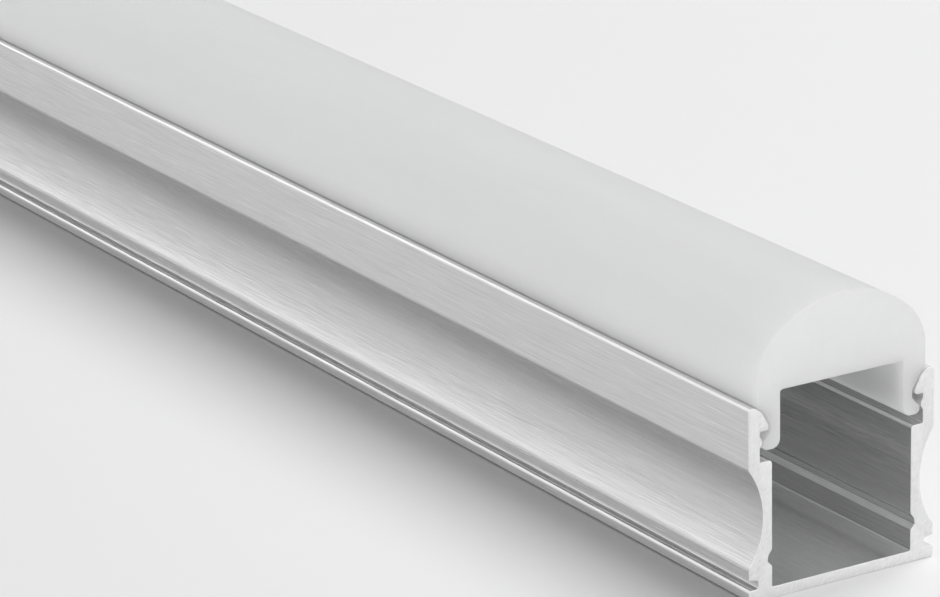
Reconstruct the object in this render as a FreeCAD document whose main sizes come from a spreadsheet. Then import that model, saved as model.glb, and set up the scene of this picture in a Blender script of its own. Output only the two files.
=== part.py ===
import FreeCAD, Part

import math
import os

import Sketcher

# Surface aluminium profile for an LED strip, with its clip-in frosted cover.
#
# Both pieces are extrusions, cut square at the ends. X runs along the length, Y across and Z up,
# and the origin is in the middle of the underside. Each piece is the right half of its section,
# drawn in a sketch across the length, padded and then mirrored.

os.makedirs("parts", exist_ok=True)
doc = FreeCAD.newDocument("led_strip_profile")


# Sizes in millimetres, one row each: alias, value and what it measures.

SIZES = (
    ("bar_length", 300.0, "length of the cut bar, profile and cover alike"),
    ("outer_width", 17.0, "width over the upper bands, the feet and the base flange"),
    ("wall_height", 15.4, "height of the aluminium, underside to the top of its hooks"),
    ("base_thickness", 0.9, "thickness of the channel's floor"),
    ("floor_radius", 0.1, "rounding between the channel's floor and its walls"),
    ("flange_height", 1.0, "height of the base flange's outer face"),
    ("flange_radius", 0.2, "rounding of the base flange's upper edge"),
    ("clip_groove_depth", 0.85, "depth of the side groove that mounting clips grip"),
    ("clip_groove_back", 0.67, "height of the side groove at its back"),
    ("clip_groove_mouth", 0.85, "height of the side groove at its mouth"),
    ("clip_groove_radius", 0.22, "rounding at the back of the side groove"),
    ("foot_height", 0.87, "height of the flat foot face above the side groove"),
    ("foot_radius", 0.1, "rounding of the foot's lower edge"),
    ("scallop_depth", 1.28, "depth of the hollow along each side, at the waist"),
    ("waist_wall", 0.82, "wall left between that hollow and the channel, which is 12.8 mm wide"),
    ("scallop_margin", 0.5, "distance from the ledge down to the hollow's upper edge"),
    ("recess_wall", 1.0, "wall thickness beside the cover's feet"),
    ("recess_height", 2.42, "height from the ledge to the underside of the hook"),
    ("ledge_radius", 0.3, "rounding of the ledge's inner edge"),
    ("hook_height", 1.94, "height of the hook above its underside"),
    ("hook_reach", 0.97, "how far the hook's nose reaches in from the recess wall"),
    ("hook_crest", 0.96, "distance from the outer face to where the hook's slope starts"),
    ("nose_radius", 0.28, "rounding of the hook's nose"),
    ("crest_radius_out", 0.4, "rounding of the top edge, outer side"),
    ("crest_radius_in", 0.6, "rounding of the top edge, inner side"),
    ("ridge_depth", 0.19, "how far the catch ridge stands out of the recess wall"),
    ("ridge_drop", 0.36, "distance from the hook's underside to the ridge's upper slant"),
    ("ridge_slant_up", 0.35, "height of the ridge's upper slant"),
    ("ridge_face", 0.35, "height of the ridge's flat face"),
    ("ridge_slant_low", 0.25, "height of the ridge's lower slant"),
    ("key_groove_level", 2.42, "height of the inner groove's lower lip above the underside"),
    ("key_groove_low", 0.7, "height of the inner groove below its deepest line"),
    ("key_groove_high", 1.0, "height of the inner groove above its deepest line"),
    ("key_groove_depth", 0.5, "depth of the inner groove before it is rounded"),
    ("key_groove_radius", 0.45, "rounding at the back of the inner groove, which takes end caps"),
    ("key_lip_radius", 0.25, "rounding of the inner groove's lips"),
    ("foot_clearance", 0.12, "gap between a cover foot and the catch ridge"),
    ("leg_clearance", 0.03, "gap between a cover leg and the nose before it is rounded"),
    ("shoulder_clearance", 0.27, "level gap between the cover's shoulder and the hook's slope"),
    ("leg_thickness", 0.87, "thickness of the cover's legs"),
    ("barb_clearance", 0.21, "distance from the hook's underside to the top of the barb"),
    ("barb_height", 0.75, "height of the barb's slope"),
    ("foot_edge", 0.62, "height of the cover foot's outer edge"),
    ("foot_round_in", 0.75, "rounding of the cover foot, inner side"),
    ("foot_round_out", 0.42, "rounding of the cover foot, outer side"),
    ("barb_round", 0.12, "rounding at both ends of the barb's slope"),
    ("shoulder_round_low", 0.3, "rounding where the leg runs into the shoulder"),
    ("shoulder_round_up", 2.0, "rounding where the shoulder runs into the flank"),
    ("dome_overhang", 1.1, "how far the dome stands out over the leg on each side"),
    ("flank_height", 1.41, "height from the shoulder's top corner to where the dome curves in"),
    ("flank_radius", 4.4, "radius of the dome's flank"),
    ("crown_rise", 1.16, "how far the crown stands above the flanks' own arcs"),
    ("lens_thickness", 6.6, "thickness of the dome over the flat ceiling"),
    ("ceiling_radius", 0.25, "rounding between the ceiling and a leg"),
)

sheet = doc.addObject("Spreadsheet::Sheet", "Sizes")
for row, (alias, value, meaning) in enumerate(SIZES, start=1):
    sheet.set(f"A{row}", alias)
    sheet.set(f"B{row}", str(value))
    sheet.setAlias(f"B{row}", alias)
    sheet.set(f"C{row}", meaning)
doc.recompute()


class Size:
    """A length: its value now, and the text that works it out again from the sheet."""

    def __init__(self, value, text):
        self.value = float(value)
        self.text = text

    @staticmethod
    def of(thing):
        return thing if isinstance(thing, Size) else Size(thing, str(thing))

    def joined(self, sign, other, value):
        return Size(value, f"({self.text} {sign} {other.text})")

    def __add__(self, other):
        other = Size.of(other)
        return self.joined("+", other, self.value + other.value)

    def __sub__(self, other):
        other = Size.of(other)
        return self.joined("-", other, self.value - other.value)

    def __mul__(self, other):
        other = Size.of(other)
        return self.joined("*", other, self.value * other.value)

    def __truediv__(self, other):
        other = Size.of(other)
        return self.joined("/", other, self.value / other.value)

    def squared(self):
        return self * self


def size(alias):
    """The sheet's size of that name."""
    return Size(sheet.get(alias), f"{sheet.Name}.{alias}")


class Section:
    """A closed outline in a sketch, drawn corner by corner with the material on its left.

    A corner is sharp or rounded. The run from it to the next corner is straight, or an arc that
    hollows the material or swells out of it.
    """

    HOLLOW, SWELL = -1, 1

    def __init__(self, sketch):
        self.sketch = sketch
        self.corners = []

    def corner(self, across, up, rounding=None):
        place = (Size.of(across), Size.of(up))
        self.corners.append({"place": place, "rounding": rounding, "arc": None})

    def arc(self, radius, side):
        """Makes the run from the last corner to the next one an arc."""
        self.corners[-1]["arc"] = (radius, side)

    def point(self, index):
        across, up = self.corners[index % len(self.corners)]["place"]
        return FreeCAD.Vector(across.value, up.value, 0)

    def add(self, *constraint):
        return self.sketch.addConstraint(Sketcher.Constraint(*constraint))

    def drive(self, kind, *rest):
        """Adds a dimension and ties it to the sheet."""
        *where, length = rest
        index = self.add(kind, *where, length.value)
        self.sketch.setExpression(f"Constraints[{index}]", length.text)

    def pin(self, geometry, end, place):
        """Holds a point at its distances across and up from the origin."""
        across, up = place
        if across.value:
            self.drive("DistanceX", -1, 1, geometry, end, across)
        else:
            self.add("PointOnObject", geometry, end, -2)
        if up.value:
            self.drive("DistanceY", -1, 1, geometry, end, up)
        else:
            self.add("PointOnObject", geometry, end, -1)

    def cut_back(self, index):
        """Where a rounding meets the runs before and after its corner."""
        here = self.point(index)
        before = (self.point(index - 1) - here).normalize()
        after = (self.point(index + 1) - here).normalize()
        rounding = self.corners[index]["rounding"]
        if rounding is None:
            return here, here
        tangent = rounding.value / math.tan(before.getAngle(after) / 2)
        return here + before * tangent, here + after * tangent

    def draw_arc(self, start, end, radius, left):
        """An arc from start to end that turns left or right, and which of its ends is which."""
        chord = end - start
        middle = start + chord * 0.5
        normal = FreeCAD.Vector(-chord.y, chord.x, 0).normalize()
        height = math.sqrt(max(radius * radius - chord.Length ** 2 / 4, 0))
        centre = middle + normal * (height if left else -height)
        first, last = (start, end) if left else (end, start)
        turns = [math.atan2(p.y - centre.y, p.x - centre.x) for p in (first, last)]
        circle = Part.Circle(centre, FreeCAD.Vector(0, 0, 1), radius)
        geometry = self.sketch.addGeometry(Part.ArcOfCircle(circle, *turns), False)
        return geometry, (1, 2) if left else (2, 1)

    def close(self):
        """Draws the outline and holds every corner, rounding and arc to the sheet."""
        cuts = [self.cut_back(index) for index in range(len(self.corners))]
        runs = []
        for index, corner in enumerate(self.corners):
            start, end = cuts[index][1], cuts[(index + 1) % len(cuts)][0]
            if corner["arc"]:
                radius, side = corner["arc"]
                geometry, ends = self.draw_arc(start, end, radius.value, side == self.SWELL)
                self.drive("Radius", geometry, radius)
                runs.append((geometry, ends))
            else:
                runs.append((self.sketch.addGeometry(Part.LineSegment(start, end), False), (1, 2)))
        for index, corner in enumerate(self.corners):
            before, (_, before_end) = runs[index - 1]
            after, (after_start, _) = runs[index]
            if corner["rounding"] is None:
                self.add("Coincident", before, before_end, after, after_start)
                self.pin(after, after_start, corner["place"])
            else:
                self.round_off(index, before, after)

    def round_off(self, index, before, after):
        """Rounds a corner between two straight runs, and keeps the sharp corner as a guide."""
        corner = self.corners[index]
        start, end = self.cut_back(index)
        here = self.point(index)
        left = (here - start).cross(end - here).z > 0
        rounding, (first, last) = self.draw_arc(start, end, corner["rounding"].value, left)
        guide = self.sketch.addGeometry(Part.Point(here), True)
        self.pin(guide, 1, corner["place"])
        self.add("PointOnObject", guide, 1, before)
        self.add("PointOnObject", guide, 1, after)
        self.add("Tangent", before, 2, rounding, first)
        self.add("Tangent", rounding, last, after, 1)
        self.drive("Radius", rounding, corner["rounding"])


def plane(body, role):
    """One of the body's own origin planes."""
    return next(item for item in body.Origin.OriginFeatures if item.Role == role)


def extrusion(label, draw):
    """A bar along X: half its section padded to both sides of the middle, then mirrored."""
    body = doc.addObject("PartDesign::Body", label)
    body.Label = label
    sketch = body.newObject("Sketcher::SketchObject", f"{label}_section")
    sketch.AttachmentSupport = [(plane(body, "YZ_Plane"), "")]
    sketch.MapMode = "FlatFace"
    doc.recompute()
    section = Section(sketch)
    draw(section)
    section.close()
    doc.recompute()
    pad = body.newObject("PartDesign::Pad", f"{label}_half")
    pad.Profile = sketch
    pad.setExpression("Length", f"{sheet.Name}.bar_length")
    pad.Midplane = True
    doc.recompute()
    mirror = body.newObject("PartDesign::Mirrored", f"{label}_whole")
    mirror.Originals = [pad]
    mirror.MirrorPlane = (plane(body, "XZ_Plane"), [""])
    mirror.Refine = True
    body.Tip = mirror
    body.Placement = FreeCAD.Placement()
    doc.recompute()
    return body


# Levels and distances that both sections share, so that the cover follows the hooks that hold it.

outer_half = size("outer_width") / 2
hook_level = size("wall_height") - size("hook_height")
ledge_level = hook_level - size("recess_height")
recess_half = outer_half - size("recess_wall")
ridge_half = recess_half - size("ridge_depth")
nose_half = recess_half - size("hook_reach")
crest_half = outer_half - size("hook_crest")


def arc_radius(height, depth):
    """The radius of an arc that stands over a chord of that height by that depth."""
    return ((height / 2).squared() + depth.squared()) / (depth * 2)


def draw_profile(section):
    """The aluminium: floor, grooved flange, hollowed side, hook, catch ridge and ledge."""
    channel_half = outer_half - size("scallop_depth") - size("waist_wall")
    flange_level = size("flange_height")
    groove_half = outer_half - size("clip_groove_depth")
    foot_level = flange_level + size("clip_groove_mouth")
    scallop_low = foot_level + size("foot_height")
    scallop_high = ledge_level - size("scallop_margin")
    ridge_level = hook_level - size("ridge_drop")
    face_level = ridge_level - size("ridge_slant_up")
    catch_level = face_level - size("ridge_face")
    key_low = size("key_groove_level")
    key_level = key_low + size("key_groove_low")
    key_high = key_level + size("key_groove_high")
    key_half = channel_half + size("key_groove_depth")

    section.corner(0, 0)
    section.corner(outer_half, 0)
    section.corner(outer_half, flange_level, size("flange_radius"))
    section.corner(groove_half, flange_level, size("clip_groove_radius"))
    section.corner(groove_half, flange_level + size("clip_groove_back"), size("clip_groove_radius"))
    section.corner(outer_half, foot_level, size("foot_radius"))
    section.corner(outer_half, scallop_low)
    section.arc(arc_radius(scallop_high - scallop_low, size("scallop_depth")), Section.HOLLOW)
    section.corner(outer_half, scallop_high)
    section.corner(outer_half, size("wall_height"), size("crest_radius_out"))
    section.corner(crest_half, size("wall_height"), size("crest_radius_in"))
    section.corner(nose_half, hook_level, size("nose_radius"))
    section.corner(recess_half, hook_level)
    section.corner(recess_half, ridge_level)
    section.corner(ridge_half, face_level)
    section.corner(ridge_half, catch_level)
    section.corner(recess_half, catch_level - size("ridge_slant_low"))
    section.corner(recess_half, ledge_level)
    section.corner(channel_half, ledge_level, size("ledge_radius"))
    section.corner(channel_half, key_high, size("key_lip_radius"))
    section.corner(key_half, key_level, size("key_groove_radius"))
    section.corner(channel_half, key_low, size("key_lip_radius"))
    section.corner(channel_half, size("base_thickness"), size("floor_radius"))
    section.corner(0, size("base_thickness"))


def draw_cover(section):
    """The cover: a solid dome with a flat ceiling, on two legs with barbed feet."""
    leg_half = nose_half - size("leg_clearance")
    inner_half = leg_half - size("leg_thickness")
    toe_half = ridge_half - size("foot_clearance")
    dome_half = leg_half + size("dome_overhang")

    # The barb lies below the hook and faces the catch ridge.
    barb_level = hook_level - size("barb_clearance")
    edge_level = barb_level - size("barb_height")
    sole_level = edge_level - size("foot_edge")

    # The shoulder runs level with the hook's slope, at the clearance.
    steepness = size("hook_height") / (crest_half - nose_half)
    neck_rise = (size("shoulder_clearance") - size("leg_clearance")) * steepness
    neck_level = hook_level + neck_rise
    shoulder_level = neck_level + size("dome_overhang") * steepness

    # The crown's arc is centred on the middle line and runs into the flank's arc without a break.
    flank = size("flank_radius")
    flank_level = shoulder_level + size("flank_height")
    flank_middle = dome_half - flank
    rise = flank + size("crown_rise")
    crown = (flank_middle.squared() + rise.squared() - flank.squared()) / (size("crown_rise") * 2)
    reach = crown / (crown - flank)
    crown_level = flank_level + rise
    meet_half = flank_middle * reach
    meet_level = crown_level - crown + (crown - rise) * reach
    ceiling_level = crown_level - size("lens_thickness")

    section.corner(0, ceiling_level)
    section.corner(inner_half, ceiling_level, size("ceiling_radius"))
    section.corner(inner_half, sole_level, size("foot_round_in"))
    section.corner(toe_half, sole_level, size("foot_round_out"))
    section.corner(toe_half, edge_level, size("barb_round"))
    section.corner(leg_half, barb_level, size("barb_round"))
    section.corner(leg_half, neck_level, size("shoulder_round_low"))
    section.corner(dome_half, shoulder_level, size("shoulder_round_up"))
    section.corner(dome_half, flank_level)
    section.arc(flank, Section.SWELL)
    section.corner(meet_half, meet_level)
    section.arc(crown, Section.SWELL)
    section.corner(0, crown_level)


pieces = [
    extrusion("channel_profile", draw_profile),
    extrusion("frosted_cover", draw_cover),
]

# Every object has to be sound before anything is written.

for item in doc.Objects:
    if "Invalid" in item.State or "Error" in item.State:
        raise RuntimeError(f"{item.Label} failed: {item.State}")
for item in doc.Objects:
    if item.TypeId == "Sketcher::SketchObject" and not item.FullyConstrained:
        raise RuntimeError(f"{item.Label} isn't fully constrained")
for piece in pieces:
    if piece.Shape.isNull() or not piece.Shape.isValid() or len(piece.Shape.Solids) != 1:
        raise RuntimeError(f"{piece.Label} isn't one sound solid")

for piece in pieces:
    piece.Shape.exportStep(f"parts/{piece.Label}.step")
    box = piece.Shape.BoundBox
    print(f"{piece.Label}: {piece.Shape.Volume:.1f} mm3, {box.XLength:.2f} x {box.YLength:.2f} x {box.ZLength:.2f} mm,"
          f" z {box.ZMin:.2f} to {box.ZMax:.2f}, {len(piece.Shape.Faces)} faces")
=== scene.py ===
# %% [markdown]
# # A deep channel for an LED strip, with its frosted cover
#
# The object is a cut length of the aluminium channel that holds an LED strip under a shelf or in a
# ceiling, and the milky cover that clips in over the light. Both are pressed through a die, so each
# has one section all along and is sawn off square. That makes this a lesson about sections: how to
# write one down as a few corners and roundings, how to turn it into a smooth outline with numpy,
# and how the die and the saw leave their traces in a material.
#
# The CAD model comes first, as a fixed frame. It says where each part is, to the hundredth of a
# millimetre, and nothing made here may leave its place.

import bpy
import numpy as np
from mathutils import Matrix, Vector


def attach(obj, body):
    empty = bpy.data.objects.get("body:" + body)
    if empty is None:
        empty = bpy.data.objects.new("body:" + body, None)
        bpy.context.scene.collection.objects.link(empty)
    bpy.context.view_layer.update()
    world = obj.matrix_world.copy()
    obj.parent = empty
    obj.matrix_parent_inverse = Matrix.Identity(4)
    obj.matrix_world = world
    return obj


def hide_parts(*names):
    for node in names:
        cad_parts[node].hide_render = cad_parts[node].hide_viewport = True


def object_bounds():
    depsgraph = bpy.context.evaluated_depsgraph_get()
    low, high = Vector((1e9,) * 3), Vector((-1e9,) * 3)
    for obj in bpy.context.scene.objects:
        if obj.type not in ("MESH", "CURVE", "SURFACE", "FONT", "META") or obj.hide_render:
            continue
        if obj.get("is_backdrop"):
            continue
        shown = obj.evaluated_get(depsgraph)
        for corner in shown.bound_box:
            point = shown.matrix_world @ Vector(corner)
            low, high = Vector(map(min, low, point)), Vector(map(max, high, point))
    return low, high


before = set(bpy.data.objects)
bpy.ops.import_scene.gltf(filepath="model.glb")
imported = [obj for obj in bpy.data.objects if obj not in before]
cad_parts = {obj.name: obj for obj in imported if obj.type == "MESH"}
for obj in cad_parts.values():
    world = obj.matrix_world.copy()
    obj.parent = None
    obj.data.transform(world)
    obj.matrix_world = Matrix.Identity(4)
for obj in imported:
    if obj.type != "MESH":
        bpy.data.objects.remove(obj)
cad_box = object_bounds()
MM = 0.001
print("CAD parts:", sorted(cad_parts))
print("CAD box in mm:", [[round(v / MM, 2) for v in corner] for corner in cad_box])

# %% [markdown]
# ## The camera
#
# The photograph was taken from near the end of the bar, a little above it, with a long lens that
# keeps the long edges almost parallel. The angles below come from fitting a camera to the section
# of the near end and to the long edges. A camera could be placed by eye, but an error of one degree
# already shows at the far edges, so here the numbers are used as they were fitted.
#
# A Blender camera looks along its own -Z. Its matrix has three columns for its right, up and back
# directions, and one for its place. The lamps are turned in the same way later.

# %% Objects and where they stand
def add_object(name, data):
    """A new object with this data, in the scene and at its origin."""
    made = bpy.data.objects.new(name, data)
    bpy.context.scene.collection.objects.link(made)
    return made


def stand(made, x, y, z, place=(0.0, 0.0, 0.0)):
    """Puts an object at this place, with its own three axes along x, y and z."""
    matrix = np.eye(4)
    matrix[:3, 0], matrix[:3, 1], matrix[:3, 2], matrix[:3, 3] = x, y, z, place
    made.matrix_world = Matrix(matrix.tolist())


# %% Place the camera
BAR_LENGTH = 300.0
near_end = np.array([BAR_LENGTH / 2, 0.0, 0.0]) * MM
turn, tilt, roll = np.radians([58.694, 18.668, -1.2586])
distance = 379.42 * MM
aim_left, aim_up = 28.099 * MM, 21.259 * MM

right = np.array([np.cos(turn), np.sin(turn), 0.0])
back = np.array([np.sin(turn) * np.cos(tilt), -np.cos(turn) * np.cos(tilt), np.sin(tilt)])
up = np.cross(back, right)
rolled_right = np.cos(roll) * right + np.sin(roll) * up
rolled_up = np.cos(roll) * up - np.sin(roll) * right
eye = near_end - aim_left * rolled_right + aim_up * rolled_up + back * distance

camera = add_object("camera", bpy.data.cameras.new("camera"))
stand(camera, rolled_right, rolled_up, back, eye)
camera.data.sensor_width = 36.0
camera.data.lens = 192.34
camera.data.clip_start = 0.01
camera.data.clip_end = 50.0
bpy.context.scene.camera = camera
print("camera at", (eye / MM).round(1), "mm")

# %% [markdown]
# ## From corners to an outline
#
# A die's drawing is a list of corners, each with a rounding, and a few long arcs. Blender could
# draw that as a Bezier curve with handles, but handles only come near a true arc. Worked out with
# numpy the arcs are exact, and the same three small functions serve both parts:
#
# - `arc_points` walks round a centre in equal steps of angle;
# - `bow_runs` swaps the straight run between two corners for an arc;
# - `round_corners` swaps a corner for an arc that touches both of its runs.

# %% Points on an arc
def arc_points(centre, start, end, count):
    """Arcs from start to end around centre, for many arcs at once: an array (arcs, count, 2).

    With spokes a = start - centre and b = end - centre, and w the angle between them, the spoke at
    share u of the way is (sin((1 - u) w) a + sin(u w) b) / sin(w).
    """
    a, b = start - centre, end - centre
    cosine = (a * b).sum(1) / np.linalg.norm(a, axis=1) / np.linalg.norm(b, axis=1)
    w = np.arccos(np.clip(cosine, -1.0, 1.0))[:, None, None]
    u = np.linspace(0.0, 1.0, count)[None, :, None]
    spokes = (np.sin((1 - u) * w) * a[:, None] + np.sin(u * w) * b[:, None]) / np.sin(w)
    return centre[:, None] + spokes


def unit(vectors):
    """Each row of an array, divided by its own length."""
    return vectors / np.linalg.norm(vectors, axis=1)[:, None]


quarter = arc_points(np.zeros((1, 2)), np.array([[1.0, 0.0]]), np.array([[0.0, 1.0]]), 3)
print("a quarter circle in three points:", quarter.round(3).tolist())


# %% Long arcs in place of straight runs
def bow_runs(rows, count=33):
    """Corners with the arcs put in: an array of (across, up, rounding).

    A row is (across, up, rounding, radius of the run after it). The radius is 0 for a straight
    run, above 0 where the run swells out of the metal, and below 0 where it is hollow. The arc's
    centre lies on the run's middle line, sqrt(radius^2 - half^2) from the run, on the inner side of
    a swell and on the outer side of a hollow. Out of the metal is to the right of the way round.
    """
    here, ahead = rows[:-1], rows[1:]
    curved = here[:, 3] != 0
    start, end, radius = here[curved, :2], ahead[curved, :2], here[curved, 3:4]
    along = unit(end - start)
    outward = np.stack([along[:, 1], -along[:, 0]], 1)
    half = np.linalg.norm(end - start, axis=1)[:, None] / 2
    centre = (start + end) / 2 - outward * np.sign(radius) * np.sqrt(radius**2 - half**2)
    arcs = arc_points(centre, start, end, count)[:, 1:-1]
    pieces = []
    for number, row in enumerate(rows):
        pieces.append(row[None, :3])
        if number < len(curved) and curved[number]:
            arc = arcs[curved[:number].sum()]
            pieces.append(np.column_stack([arc, np.zeros(len(arc))]))
    return np.concatenate(pieces)


bowed = bow_runs(np.array([[0.0, 0.0, 0.0, 5.0], [8.0, 0.0, 0.0, 0.0]]), 3)
print("a run of 8 as an arc of radius 5:", bowed[:, :2].round(3).tolist())


# %% Rounded corners
SAME_POINT = 1e-4   # points closer than this, in mm, count as one


def round_corners(line, count=9):
    """An open line whose corners have become arcs: an array of (across, up).

    At a corner with rounding r, a and b are the unit directions back along the line and ahead, and
    h is half the angle between them. The arc touches the line at r / tan(h) from the corner, and
    its centre is r / sin(h) from the corner, along a + b. A corner with no rounding stays a point.
    """
    points, rounding = line[:, :2], line[:, 2]
    corner = points[1:-1]
    a, b = unit(points[:-2] - corner), unit(points[2:] - corner)
    h = np.arccos(np.clip((a * b).sum(1), -1.0, 1.0))[:, None] / 2
    r = np.maximum(rounding[1:-1], SAME_POINT / 1000)[:, None]
    arcs = arc_points(corner + unit(a + b) * r / np.sin(h), corner + a * r / np.tan(h),
                      corner + b * r / np.tan(h), count)
    flat = np.concatenate([points[:1], arcs.reshape(-1, 2), points[-1:]])
    apart = np.linalg.norm(np.diff(flat, axis=0), axis=1) > SAME_POINT
    return flat[np.concatenate([[True], apart])]


def whole_outline(rows):
    """A closed outline from its right half: the half, then its mirror image on the way back."""
    half = round_corners(bow_runs(rows))
    mirrored = half[::-1] * (-1.0, 1.0)
    return np.concatenate([half, mirrored[1:-1]])


bent = round_corners(np.array([[0.0, 0.0, 0.0], [2.0, 0.0, 1.0], [2.0, 2.0, 0.0]]), 3)
print("a right angle rounded by 1:", bent.round(3).tolist())


# %% [markdown]
# ## A bar cut from an outline
#
# Carrying an outline along a straight line is what the press does. The solid has two ends, and an
# end straight from the maths would be a perfect knife edge that no light ever catches. So over the
# last few hundredths of a millimetre the outline draws in by a quarter turn, which leaves the small
# rounding of a deburred cut. A Bevel modifier could do it too, but on this outline of many short
# edges it would also find the long edges, and here only the cut ones should be broken.

# %% The bar
def parallel_inset(outline):
    """For each point, the step that draws the closed outline in by 1 at right angles to it.

    With m and n the outward unit directions of the runs before and after, it is
    -(m + n) / (1 + m . n), which keeps both runs parallel to themselves.
    """
    ahead = unit(np.roll(outline, -1, axis=0) - outline)
    n = np.stack([ahead[:, 1], -ahead[:, 0]], 1)
    m = np.roll(n, 1, axis=0)
    return -(m + n) / (1 + (m * n).sum(1))[:, None]


def cut_bar(name, outline, edge, rings=5):
    """A bar with this outline, in mm, closed at both ends, with its cut edges rounded by `edge`.

    The surface is P(s, t) = (x(t), outline(s) + inset(s) * e (1 - cos q)). The angle q runs from a
    quarter turn to 0 over the back end and from 0 to a quarter turn over the front one, with
    x = half the length - e (1 - sin q) at the front and the same below 0 at the back.
    """
    quarter_turn = np.linspace(0.0, np.pi / 2, rings)
    reach = BAR_LENGTH / 2 - edge * (1 - np.sin(quarter_turn))
    x = np.concatenate([-reach[::-1], reach])
    drawn_in = edge * (1 - np.cos(np.concatenate([quarter_turn[::-1], quarter_turn])))
    section = outline[None] + parallel_inset(outline)[None] * drawn_in[:, None, None]
    count = len(outline)
    grid = np.empty((len(x), count, 3))
    grid[..., 0] = x[:, None]
    grid[..., 1:] = section

    ring, step = np.meshgrid(np.arange(len(x) - 1), np.arange(count), indexing="ij")
    here, ahead = ring * count + step, ring * count + (step + 1) % count
    sides = np.stack([here, ahead, ahead + count, here + count], -1).reshape(-1, 4)
    front = np.arange(count) + (len(x) - 1) * count
    caps = [np.arange(count)[::-1].tolist(), front.tolist()]

    mesh = bpy.data.meshes.new(name)
    mesh.from_pydata((grid.reshape(-1, 3) * MM).tolist(), [], sides.tolist() + caps)
    smooth = np.ones(len(mesh.polygons), dtype=bool)
    smooth[-2:] = False
    mesh.polygons.foreach_set("use_smooth", smooth)
    mesh.set_sharp_from_angle(angle=np.radians(32))
    return add_object(name, mesh)


# %% [markdown]
# ## The aluminium channel
#
# Half of the section is enough, because left and right mirror each other. Starting under the
# middle, the way goes out along the flat underside, up past the groove that spring clips grip,
# through the long hollow of the side, over the hook that holds the cover, and down the inner wall
# to the floor where the LED strip is stuck.
#
# The roundings matter more than their size suggests. Satin metal mirrors the room, so a rounding of
# a third of a millimetre turns into a line of light or shade all along the bar. The crest of the
# hook, the edges of the hollow and the edge that the bar stands on got theirs from the lines that
# show there on the real one. The corners that a drawing would leave sharp get about a tenth of a
# millimetre, because a die can't cut them much sharper.

# %% Its section, as corners
BROKEN = 0.10   # rounding of a corner that is drawn sharp, in mm
channel_half = np.array([
    # across, up, rounding, radius of the run after it
    [0.00, 0.00, 0.00, 0.0],     # underside, in the middle
    [8.50, 0.00, 0.22, 0.0],     # edge that the bar stands on
    [8.50, 1.00, 0.28, 0.0],     # flange below the clip groove
    [7.65, 1.00, 0.22, 0.0],     # back of the clip groove
    [7.65, 1.67, 0.22, 0.0],
    [8.50, 1.85, BROKEN, 0.0],   # foot above the groove
    [8.50, 2.72, 0.70, -6.612],  # the long hollow
    [8.50, 10.54, 0.70, 0.0],    # upright band
    [8.50, 15.40, 0.32, 0.0],    # crest of the hook
    [7.92, 15.40, 0.35, 0.0],
    [7.33, 15.00, 0.60, 0.0],
    [6.53, 13.46, 0.28, 0.0],    # nose of the hook
    [7.50, 13.46, BROKEN, 0.0],  # undercut
    [7.50, 13.10, 0.08, 0.0],
    [7.31, 12.75, 0.08, 0.0],    # catch ridge
    [7.31, 12.40, 0.08, 0.0],
    [7.50, 12.15, 0.08, 0.0],
    [7.50, 11.04, BROKEN, 0.0],
    [6.40, 11.04, 0.30, 0.0],    # ledge over the channel
    [6.40, 3.92, 0.10, 0.0],     # shallow groove for an end cap's pegs
    [6.74, 3.50, 0.20, 0.0],
    [6.81, 3.02, 0.12, 0.0],
    [6.40, 2.59, 0.08, 0.0],
    [6.40, 0.90, 0.18, 0.0],     # floor of the channel
    [0.00, 0.90, 0.00, 0.0],
])
channel_outline = whole_outline(channel_half)
print("points round the channel's section:", len(channel_outline))

# %% Carry it along the bar
CUT_EDGE = 0.05   # has to stay below the smallest rounding, or the cut folds over itself there
channel = cut_bar("aluminium_channel", channel_outline, CUT_EDGE)
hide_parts("channel_profile")
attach(channel, "profile")
print("channel:", [round(v / MM, 2) for v in channel.dimensions], "mm")
print("faces:", len(channel.data.polygons))

# %% [markdown]
# ## The frosted cover
#
# The cover is one piece of milky plastic: a thick lens with a flat ceiling and a dome above, and
# two short legs whose feet snap in under the hooks. The dome is two arcs that meet without a kink,
# a tight one up the flank and a wide one over the top. The shoulder follows the hook and comes down
# just over its crest, so that hardly more than a dark line is left between the two parts. Cut
# plastic has softer edges than cut metal, so its cut edge gets twice the rounding, and that is the
# pale line that follows the end.

# %% Its section, and the bar
cover_half = np.array([
    # across, up, rounding, radius of the run after it
    [0.00, 16.404, 0.00, 0.0],    # ceiling, in the middle
    [5.63, 16.404, 0.25, 0.0],
    [5.63, 11.88, 0.75, 0.0],     # inner side of the leg, down to the foot
    [7.19, 11.88, 0.42, 0.0],
    [7.19, 12.50, 0.12, 0.0],     # barb
    [6.50, 13.25, 0.12, 0.0],
    [6.50, 13.921, 0.30, 0.0],    # neck beside the nose of the hook
    [7.19, 15.05, 0.50, 0.0],     # shoulder along the hook
    [7.70, 15.36, 0.20, 0.0],     # and over its crest
    [7.70, 17.228, 0.00, 4.68],   # flank of the dome
    [6.02, 20.82, 0.00, 9.394],   # crown of the dome
    [0.00, 23.004, 0.00, 0.0],
])
cover_outline = whole_outline(cover_half)
cover = cut_bar("frosted_dome_cover", cover_outline, 2 * CUT_EDGE)
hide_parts("frosted_cover")
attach(cover, "cover")
print("cover:", [round(v / MM, 2) for v in cover.dimensions], "mm")
print("faces:", len(cover.data.polygons))

# %% [markdown]
# ## Shader maths that reads like maths
#
# A finish is worked out from the place of each point, and in Blender's editor that is a web of
# nodes. Here a `Signal` holds one socket of it. Adding or multiplying two of them adds the Math
# node for it, and every other node comes from `node`, which sets the node's own settings first and
# then fills its sockets with numbers or links.

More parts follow.
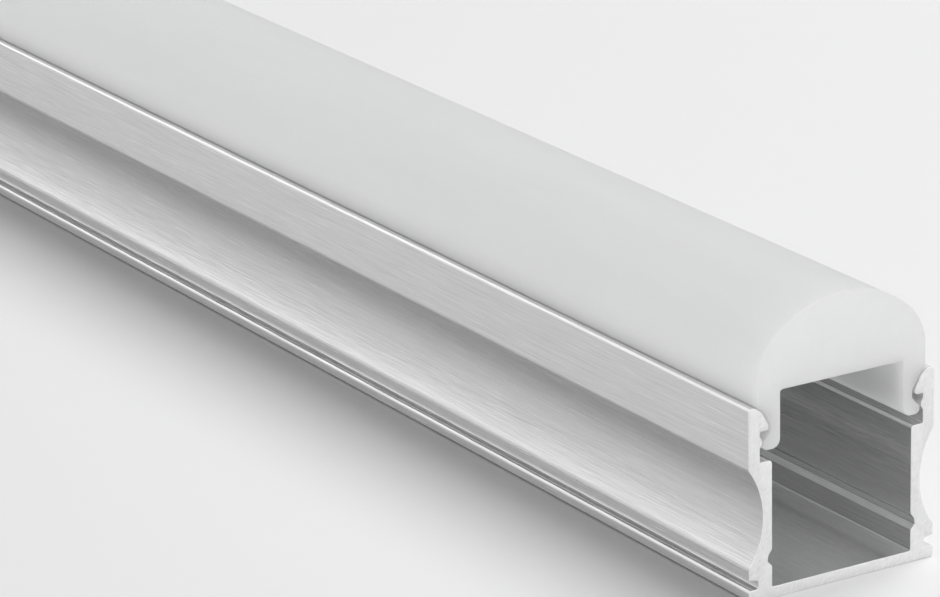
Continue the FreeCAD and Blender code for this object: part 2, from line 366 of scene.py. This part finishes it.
# %% Signals
class Signal:
    """One socket of a material or of the world, to be used in sums."""

    def __init__(self, tree, socket=None):
        self.tree, self.socket = tree, socket

    def node(self, kind, sockets=None, out=0, **settings):
        """Adds a node with these settings and sockets, and gives one of its outputs."""
        made = self.tree.nodes.new(kind)
        made.location = (220 * (len(self.tree.nodes) % 8), -260 * (len(self.tree.nodes) // 8))
        for name, value in settings.items():
            setattr(made, name, value)
        for name, value in (sockets or {}).items():
            if isinstance(value, Signal):
                self.tree.links.new(value.socket, made.inputs[name])
            else:
                made.inputs[name].default_value = value
        return Signal(self.tree, made.outputs[out] if made.outputs else None)

    def maths(self, operation, first, second):
        """Adds a Math node on two values, which may be sockets or numbers."""
        return self.node("ShaderNodeMath", {0: first, 1: second}, operation=operation)

    def __add__(self, other):
        return self.maths("ADD", self, other)

    def __sub__(self, other):
        return self.maths("SUBTRACT", self, other)

    def __rsub__(self, other):
        return self.maths("SUBTRACT", other, self)

    def __mul__(self, other):
        return self.maths("MULTIPLY", self, other)

    __radd__, __rmul__ = __add__, __mul__


def new_finish(name):
    """A material with an empty node tree, and the Signal that starts it."""
    material = bpy.data.materials.new(name)
    material.use_nodes = True
    material.node_tree.nodes.clear()
    return material, Signal(material.node_tree)


def give_finish(piece, material, start, sockets):
    """Ends a material with a Principled shader that has these sockets, and gives it to a piece."""
    shader = start.node("ShaderNodeBsdfPrincipled", sockets)
    start.node("ShaderNodeOutputMaterial", {"Surface": shader})
    piece.data.materials.append(material)
    print(material.name + ":", len(material.node_tree.nodes), "nodes")


def grey(value, warmth=0.0):
    """A neutral colour of this lightness, or a slightly cool one where warmth is below 0."""
    return (value * (1 + warmth), value, value * (1 - warmth), 1.0)


# %% Grain at the size of the real thing
def grain(start, along, across, upward=None, lean=0.0, detail=2.0):
    """Noise from 0 to 1 whose grains have these sizes in mm, leaned over about the bar's axis.

    A Mapping node of the kind TEXTURE divides by its scale, so the scale is the size of a grain.
    """
    place = start.node("ShaderNodeTexCoord", out="Object")
    sized = start.node("ShaderNodeMapping", {
        "Vector": place, "Rotation": (np.radians(lean), 0.0, 0.0),
        "Scale": (along * MM, across * MM, (upward or across) * MM)}, vector_type="TEXTURE")
    return start.node("ShaderNodeTexNoise", {
        "Vector": sized, "Scale": 1.0, "Detail": detail, "Roughness": 0.6})


def place_on(start, axis, kind="Object"):
    """The point's place on the axis "X", "Y" or "Z", in metres.

    In a world, the kind Generated gives the direction that is looked in instead.
    """
    place = start.node("ShaderNodeTexCoord", out=kind)
    return start.node("ShaderNodeSeparateXYZ", {0: place}, out=axis)


def within(start, axis, low, high):
    """1 where the point's place on this axis lies between low and high, in mm, and 0 elsewhere."""
    place = place_on(start, axis)
    return start.maths("GREATER_THAN", place, low * MM) * start.maths("LESS_THAN", place, high * MM)


def blend_colours(start, share, first, second):
    """A Mix node on colours: first where share is 0, second where it is 1."""
    return start.node("ShaderNodeMix", {0: share, 6: first, 7: second}, out=2, data_type="RGBA")


# %% [markdown]
# ## Satin aluminium
#
# The die leaves fine lines all along the bar, and the satin anodising on top keeps them visible as
# hairlines less than a tenth of a millimetre wide. One stretched noise can't show both the fine
# lines and the slow bands between them, so three of different sizes are added up. The same sum
# moves the colour a little, the roughness a little, and the surface itself through a Bump node,
# because real lines do all three at once. The bump stays very shallow: the metal mirrors the room,
# and a deeper one would make every mirrored edge wavy.
#
# The finish isn't the same everywhere. Inside the channel and in the clip grooves nothing has
# touched the metal since the press, so there it is smoother and mirrors more cleanly. Part of it is
# painted light and shade. The inside of the channel gets a lighter grey, painted light for the
# light that the cover passes on. The foot gets the same lighter grey and less metal, painted light
# against the shade near the floor. The clip grooves and a thin line under the edge that the bar
# stands on keep the darker grey and turn more metallic, which is painted shade; the line stands for
# the shadow where the bar meets the sheet. One material can hold all of that: a mask is 1 inside a
# zone and 0 outside it, and it is worked out from the place of the point.

# %% Zones of the section, from and to, in mm
BETWEEN_WALLS = (-7.0, 7.0)       # across
FLOOR_TO_CEILING = (0.85, 13.0)   # upward, as are the rest
CLIP_GROOVE = (0.97, 1.72)
# the line under the edge is painted contact shadow, kept darker than the foot
UNDER_THE_EDGE = (-0.10, 0.18)
FOOT = (1.9, 3.0)                 # painted lighter below the first, not above the second
print("the clip groove is", round(CLIP_GROOVE[1] - CLIP_GROOVE[0], 2), "mm high")

# %% The finish of the channel
aluminium, start = new_finish("satin_aluminium")
hairlines = grain(start, along=5.0, across=0.060, detail=1.0)
scratches = grain(start, along=22.0, across=0.12)
bands = grain(start, along=90.0, across=1.1)
lines = hairlines * 2.2 + scratches * 0.4 + bands * 0.1 - 0.85
inside = within(start, "Y", *BETWEEN_WALLS) * within(start, "Z", *FLOOR_TO_CEILING)
# painted shade: the clip grooves and the line under the edge keep the darker grey and turn more
# metallic; these zones and the inside are also smoother
grooves_and_contact_line = within(start, "Z", *CLIP_GROOVE) + within(start, "Z", *UNDER_THE_EDGE)
smooth_and_painted_shade = start.maths("MAXIMUM", inside, grooves_and_contact_line)
open_air = 1 - smooth_and_painted_shade * 0.7
# painted light: the foot gets the lighter grey and less metal, against the shade near the floor
on_foot = start.node("ShaderNodeMapRange", {
    "Value": place_on(start, "Z"), "From Min": FOOT[1] * MM, "From Max": FOOT[0] * MM})
foot_painted_light = on_foot * (1 - smooth_and_painted_shade)
bump = start.node("ShaderNodeBump", {
    "Height": lines * open_air, "Strength": 1.0, "Distance": 0.007 * MM})
satin = blend_colours(start, lines, grey(0.71), grey(0.87))
# painted light: this lighter grey goes inside the channel, for the light that the cover passes on,
# and on the foot
lighter = blend_colours(start, lines, grey(0.86), grey(0.97))
give_finish(channel, aluminium, start, {
    "Base Color": blend_colours(start, start.maths("MAXIMUM", inside, foot_painted_light), satin, lighter),
    "Metallic": smooth_and_painted_shade * 0.2 - foot_painted_light * 0.25 + 0.78,
    "Roughness": (lines * 0.06 + 0.21) * open_air,
    "Normal": bump})

# %% [markdown]
# ## Sawn aluminium
#
# The two cut faces are bare metal with no anodising on them, so they are lighter, and the saw's
# teeth cross them in short slanting strokes, finer than a tenth of a millimetre. The same noise
# does for this too: drawn out along a leaning line in the plane of the cut, not along the bar.
# The material follows the place: every face whose middle lies within the rounded edge of a cut
# gets it, and all the others keep the satin one.

# %% The finish of the cut ends
sawn, start = new_finish("sawn_aluminium")
strokes = grain(start, along=1.0, across=0.55, upward=0.06, lean=54.0, detail=1.0) * 2.2 - 0.6
bump = start.node("ShaderNodeBump", {"Height": strokes, "Strength": 1.0, "Distance": 0.04 * MM})
give_finish(channel, sawn, start, {
    "Base Color": blend_colours(start, strokes, grey(0.83), grey(0.99)),
    "Metallic": 0.5,
    "Roughness": strokes * 0.2 + 0.45,
    "Normal": bump})

centres = np.empty(len(channel.data.polygons) * 3)
channel.data.polygons.foreach_get("center", centres)
on_cut = np.abs(centres[0::3]) > (BAR_LENGTH / 2 - CUT_EDGE) * MM
channel.data.polygons.foreach_set("material_index", on_cut.astype(np.int32))
print("faces on the two cuts:", int(on_cut.sum()))

# %% [markdown]
# ## Frosted plastic
#
# Milky plastic lets light in a few millimetres deep and scatters it, which rounds off every shade.
# Glass with high roughness would show that too, but slowly and with noise, so the light's way
# through the plastic comes from the shader's Subsurface. The frosting is a fine grain on the
# surface, much finer than the lens is thick.

# %% The finish of the cover
COOL = -0.004   # a trace of blue in the white
frosted, start = new_finish("frosted_plastic")
frost = grain(start, along=0.16, across=0.16)
clouds = grain(start, along=14.0, across=2.5)
bump = start.node("ShaderNodeBump", {"Height": frost, "Strength": 1.0, "Distance": 0.006 * MM})
milk = blend_colours(start, clouds * 0.6 + frost * 0.4, grey(0.86, COOL), grey(0.94, COOL))
give_finish(cover, frosted, start, {
    "Base Color": milk,
    "Roughness": frost * 0.2 + 0.42,
    "Subsurface Weight": 1.0,
    "Subsurface Radius": (1.0, 1.0, 1.0),
    "Subsurface Scale": 4.0 * MM,
    "IOR": 1.49,
    "Normal": bump})

# %% [markdown]
# ## The floor
#
# The bar lies on a plain pale sheet. It is one round face worked out with numpy, wide enough that
# no view ever looks past its rim. The sheet is a little lighter towards its far side, painted light
# for light that falls unevenly over it, so its colour is a smooth blend of two greys across the
# bar.
#
# A Light Path node tells the camera's rays from all others. The camera sees the sheet nearly white,
# and every other ray finds a darker grey, because a white sheet would throw so much light back up
# that the shaded side of the metal would wash out. A faint glow for the camera alone keeps the
# deepest part of the shadow from closing up.

# %% A wide pale sheet
def disc(name, radius, spokes=96):
    """A flat disc: one ring of points (radius cos a, radius sin a, 0), closed as one face."""
    a = np.linspace(0.0, 2 * np.pi, spokes, endpoint=False)
    ring = np.stack([radius * np.cos(a), radius * np.sin(a), 0 * a], 1)
    mesh = bpy.data.meshes.new(name)
    mesh.from_pydata(ring.tolist(), [], [list(range(spokes))])
    return add_object(name, mesh)


floor = disc("floor", radius=12.0)
floor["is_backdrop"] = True

# %% The finish of the sheet
SHEET_NEAR, SHEET_FAR = 0.785, 0.91   # greys that the camera sees, on either side of the bar
SHEET_FOR_LIGHT = 0.70                # grey that all other rays find
SHADOW_GLOW = 0.035                   # strength that only the camera sees
TO_FAR_SIDE = (0.524, 0.852, 0.0)     # level direction of the painted light, in which the sheet grows lighter
FALL = (-0.05, 0.15)                  # where along it the change starts and ends, in metres
paper, start = new_finish("pale_sheet")
seen = start.node("ShaderNodeLightPath", out="Is Camera Ray")
place = start.node("ShaderNodeTexCoord", out="Object")
outward = start.node("ShaderNodeVectorMath", {
    0: place, 1: TO_FAR_SIDE}, out="Value", operation="DOT_PRODUCT")
farness = start.node("ShaderNodeMapRange", {
    "Value": outward, "From Min": FALL[0], "From Max": FALL[1]}, interpolation_type="SMOOTHSTEP")
# painted light: the sheet grows lighter towards its far side, as light falls unevenly over it
sheet = blend_colours(start, farness, grey(SHEET_NEAR), grey(SHEET_FAR))
give_finish(floor, paper, start, {
    "Base Color": blend_colours(start, seen, grey(SHEET_FOR_LIGHT), sheet),
    "Roughness": 0.8,
    "Specular IOR Level": 0.1,
    "Emission Color": blend_colours(start, seen, grey(0.0), grey(SHADOW_GLOW)),
    "Emission Strength": 1.0})

# %% [markdown]
# ## The light
#
# A studio lights metal with large pale surfaces, because the metal shows them more than itself. Six
# suns stand in for them here. A sun shines evenly on the whole length of the bar, and its angle
# says how soft a shadow it casts:
#
# - the overhead softbox stands a little behind, so the shadow falls to the front;
# - the floor light comes from the same side and lights only the sheet, which can then be almost
#   white while the metal keeps its greys;
# - the side fill reaches the flank that faces the camera, and the front fill the sawn ends;
# - the rim strip is for the thin bright line on the crest of the hook;
# - the glow in the channel stands in for the light that the milky cover passes on and the metal
#   throws back and forth. It comes from below and lights the cover's legs and ceiling, which the
#   smooth inner walls then mirror. Only the cover can shade it.
#
# Light linking says which pieces a lamp lights and which ones shade it, each with a collection.
#
# The world has three parts: a dim light for everything, the pale backdrop for the camera's rays,
# and a sky that grows lighter upwards for what the metal mirrors. The last one is left out for rays
# that have already met a matt surface, or it would light the plastic and the sheet a second time.

# %% The world
FOR_ALL = 0.20                   # strength that every ray gets
FOR_CAMERA = 0.64                # added for the camera
HORIZON, OVERHEAD = 0.44, 0.75   # added for mirrored rays, low down and high up
world = bpy.data.worlds.new("studio")
bpy.context.scene.world = world
world.use_nodes = True
world.node_tree.nodes.clear()
start = Signal(world.node_tree)
seen = start.node("ShaderNodeLightPath", out="Is Camera Ray")
mirrored = start.node("ShaderNodeLightPath", out="Is Glossy Ray")
after_matt = start.node("ShaderNodeLightPath", out="Diffuse Depth")
first_hand = mirrored * mirrored.maths("LESS_THAN", after_matt, 0.5)
upward = place_on(start, "Z", "Generated")
sky = start.node("ShaderNodeMapRange", {
    "Value": upward, "From Max": 0.35, "To Min": HORIZON, "To Max": OVERHEAD})
backdrop = start.node("ShaderNodeBackground", {
    "Color": grey(1.0), "Strength": seen * FOR_CAMERA + first_hand * sky + FOR_ALL})
start.node("ShaderNodeOutputWorld", {"Surface": backdrop})
print("world:", len(world.node_tree.nodes), "nodes")


# %% Wide suns
def gathered(name, pieces):
    """A collection of these pieces, for a lamp that should treat them differently."""
    group = bpy.data.collections.new(name)
    for piece in pieces:
        group.objects.link(piece)
    return group


def soft_sun(name, toward, strength, angle, lights_only=(), shaded_by=()):
    """A sun that shines from the direction `toward`, as wide as `angle` degrees."""
    lamp = add_object(name, bpy.data.lights.new(name, "SUN"))
    lamp.data.energy = strength
    lamp.data.angle = np.radians(angle)
    z = np.array(toward, dtype=float) / np.linalg.norm(toward)
    x = np.cross([0.0, 1.0, 0.0], z)
    x = x / np.linalg.norm(x)
    stand(lamp, x, np.cross(z, x), z)
    if lights_only:
        lamp.light_linking.receiver_collection = gathered("lit by " + name, lights_only)
    if shaded_by:
        lamp.light_linking.blocker_collection = gathered("shades " + name, shaded_by)


# %% The lamps
FACING_WHITE = np.pi   # strength at which a white surface that faces the sun renders as white
bar = [channel, cover]
soft_sun("overhead softbox", (0.0, 0.42, 0.86), 0.20 * FACING_WHITE, 50.0)
soft_sun("floor light", (0.0, 0.39, 0.88), 0.594 * FACING_WHITE, 38.0, lights_only=[floor])
soft_sun("side fill", (0.15, -0.85, 0.60), 0.335 * FACING_WHITE, 60.0, lights_only=bar)
soft_sun("front fill", (0.84, 0.45, 0.42), 0.345 * FACING_WHITE, 50.0, lights_only=bar)
soft_sun("rim strip", (-0.81, -0.25, 0.53), 0.04 * FACING_WHITE, 30.0, lights_only=[channel])
soft_sun("glow in the channel", (-0.30, 0.0, -1.0), 0.98 * FACING_WHITE, 150.0,
         lights_only=[cover], shaded_by=[cover])
bpy.context.scene.cycles.glossy_bounces = 12
bpy.context.scene.view_settings.view_transform = "Standard"

# %% Compare the boxes
visual_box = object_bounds()
difference = np.abs(np.array(cad_box) - np.array(visual_box)).max() / MM
print("largest difference in mm:", round(float(difference), 4))
